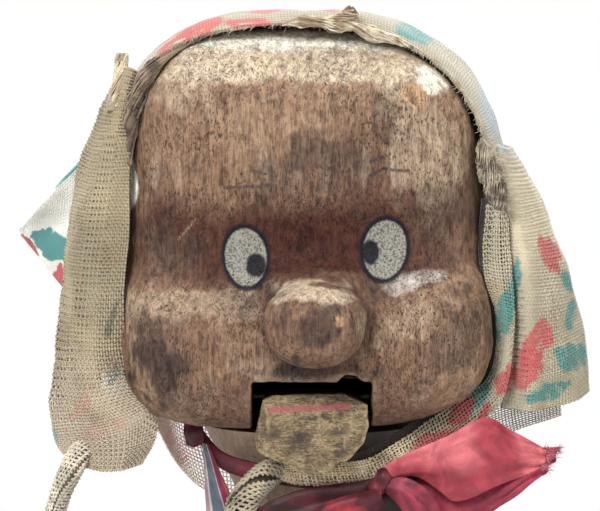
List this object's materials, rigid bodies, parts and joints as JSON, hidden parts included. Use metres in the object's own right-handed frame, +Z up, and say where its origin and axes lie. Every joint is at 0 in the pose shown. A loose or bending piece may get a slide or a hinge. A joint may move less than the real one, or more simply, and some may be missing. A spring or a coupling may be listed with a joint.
{
  "type": "rod puppet",
  "caption": "Carved wooden rod puppet with a block jaw on a cord, tied headscarf, and jointed arms held on rods.",
  "frame": {"origin": "centre of the flat foot of the central rod", "axes": "+Z up along the central rod, -Y the way the puppet looks, +X its own left"},
  "size_m": [0.172, 0.127, 0.579],
  "materials": {
    "carved_wood": "satin",
    "jaw_wood": "matte",
    "neck_wood": "matte",
    "rod_wood": "satin",
    "limb_wood": "satin",
    "bamboo": "matte",
    "steel_wire": "satin",
    "brass": "satin",
    "leather": "matte",
    "cotton_cord": "matte",
    "printed_linen": "matte",
    "red_satin": "satin",
    "striped_ribbon": "satin",
    "blouse_cotton": "matte",
    "skirt_cotton": "matte",
    "sash_cotton": "matte"
  },
  "bodies": {
    "head_and_rod": {"head": "carved_wood", "access_cover": "carved_wood", "cover_screws": "brass", "neck_post": "neck_wood", "neck_dowels": "bamboo", "rod_lock_peg": "bamboo", "jaw_pin": "steel_wire", "central_rod": "rod_wood", "stop_collar": "rod_wood", "collar_peg": "bamboo", "headscarf": "printed_linen", "neck_ribbon": "red_satin", "striped_ribbon": "striped_ribbon"},
    "jaw": {"jaw_block": "jaw_wood"},
    "jaw_pull": {"jaw_cord": "cotton_cord", "cord_slider": "bamboo", "finger_ring": "brass"},
    "torso_washer": {"leather_washer": "leather"},
    "torso": {"torso": "neck_wood", "blouse": "blouse_cotton", "skirt": "skirt_cotton", "waist_sash": "sash_cotton", "peg_lock_pin_left": "bamboo", "peg_lock_pin_right": "bamboo"},
    "shoulder_left": {"shoulder_peg_left": "limb_wood", "shoulder_pin_left": "steel_wire"},
    "arm_upper_left": {"upper_arm_left": "limb_wood", "elbow_pin_left": "steel_wire", "sleeve_left": "blouse_cotton"},
    "arm_lower_left": {"forearm_left": "limb_wood", "wrist_pin_left": "steel_wire"},
    "palm_left": {"hand_left": "limb_wood", "hand_eye_left": "brass"},
    "control_rod_left": {"rod_hook_left": "steel_wire", "arm_rod_left": "rod_wood"},
    "shoulder_right": {"shoulder_peg_right": "limb_wood", "shoulder_pin_right": "steel_wire"},
    "arm_upper_right": {"upper_arm_right": "limb_wood", "elbow_pin_right": "steel_wire", "sleeve_right": "blouse_cotton"},
    "arm_lower_right": {"forearm_right": "limb_wood", "wrist_pin_right": "steel_wire"},
    "palm_right": {"hand_right": "limb_wood", "hand_eye_right": "brass"},
    "control_rod_right": {"rod_hook_right": "steel_wire", "arm_rod_right": "rod_wood"}
  },
  "joints": [
    {"name": "torso_lift", "type": "slide", "parent": "head_and_rod", "child": "torso_washer", "axis": [0, 0, 1], "range_m": [0, 0.008]},
    {"name": "torso_turn", "type": "hinge", "parent": "torso_washer", "child": "torso", "pos_m": [0, 0, 0.26], "axis": [0, 0, 1], "range_deg": [-70, 70]},
    {"name": "jaw_hinge", "type": "hinge", "parent": "head_and_rod", "child": "jaw", "pos_m": [0, -0.008, 0.459], "axis": [1, 0, 0], "range_deg": [-5, 8]},
    {"name": "jaw_pull_slide", "type": "slide", "parent": "head_and_rod", "child": "jaw_pull", "axis": [0, 0, 1], "range_m": [-0.0015, 0.0023]},
    {"name": "shoulder_swing_left", "type": "hinge", "parent": "torso", "child": "shoulder_left", "pos_m": [0.058, 0, 0.387], "axis": [-1, 0, 0], "range_deg": [-30, 90]},
    {"name": "shoulder_raise_left", "type": "hinge", "parent": "shoulder_left", "child": "arm_upper_left", "pos_m": [0.058, 0, 0.387], "axis": [0, -1, 0], "range_deg": [0, 70]},
    {"name": "elbow_left", "type": "hinge", "parent": "arm_upper_left", "child": "arm_lower_left", "pos_m": [0.058, 0, 0.302], "axis": [-1, 0, 0], "range_deg": [0, 100]},
    {"name": "wrist_left", "type": "hinge", "parent": "arm_lower_left", "child": "palm_left", "pos_m": [0.058, 0, 0.224], "axis": [-1, 0, 0], "range_deg": [-30, 45]},
    {"name": "rod_swing_left", "type": "hinge", "parent": "palm_left", "child": "control_rod_left", "pos_m": [0.0685, 0, 0.203], "axis": [1, 0, 0], "range_deg": [-60, 110]},
    {"name": "shoulder_swing_right", "type": "hinge", "parent": "torso", "child": "shoulder_right", "pos_m": [-0.058, 0, 0.387], "axis": [-1, 0, 0], "range_deg": [-30, 90]},
    {"name": "shoulder_raise_right", "type": "hinge", "parent": "shoulder_right", "child": "arm_upper_right", "pos_m": [-0.058, 0, 0.387], "axis": [0, 1, 0], "range_deg": [0, 70]},
    {"name": "elbow_right", "type": "hinge", "parent": "arm_upper_right", "child": "arm_lower_right", "pos_m": [-0.058, 0, 0.302], "axis": [-1, 0, 0], "range_deg": [0, 100]},
    {"name": "wrist_right", "type": "hinge", "parent": "arm_lower_right", "child": "palm_right", "pos_m": [-0.058, 0, 0.224], "axis": [-1, 0, 0], "range_deg": [-30, 45]},
    {"name": "rod_swing_right", "type": "hinge", "parent": "palm_right", "child": "control_rod_right", "pos_m": [-0.0685, 0, 0.203], "axis": [1, 0, 0], "range_deg": [-60, 110]}
  ],
  "couplings": [
    {"joint": "jaw_pull_slide", "follows": "jaw_hinge", "m_per_rad": 0.0152}
  ]
}
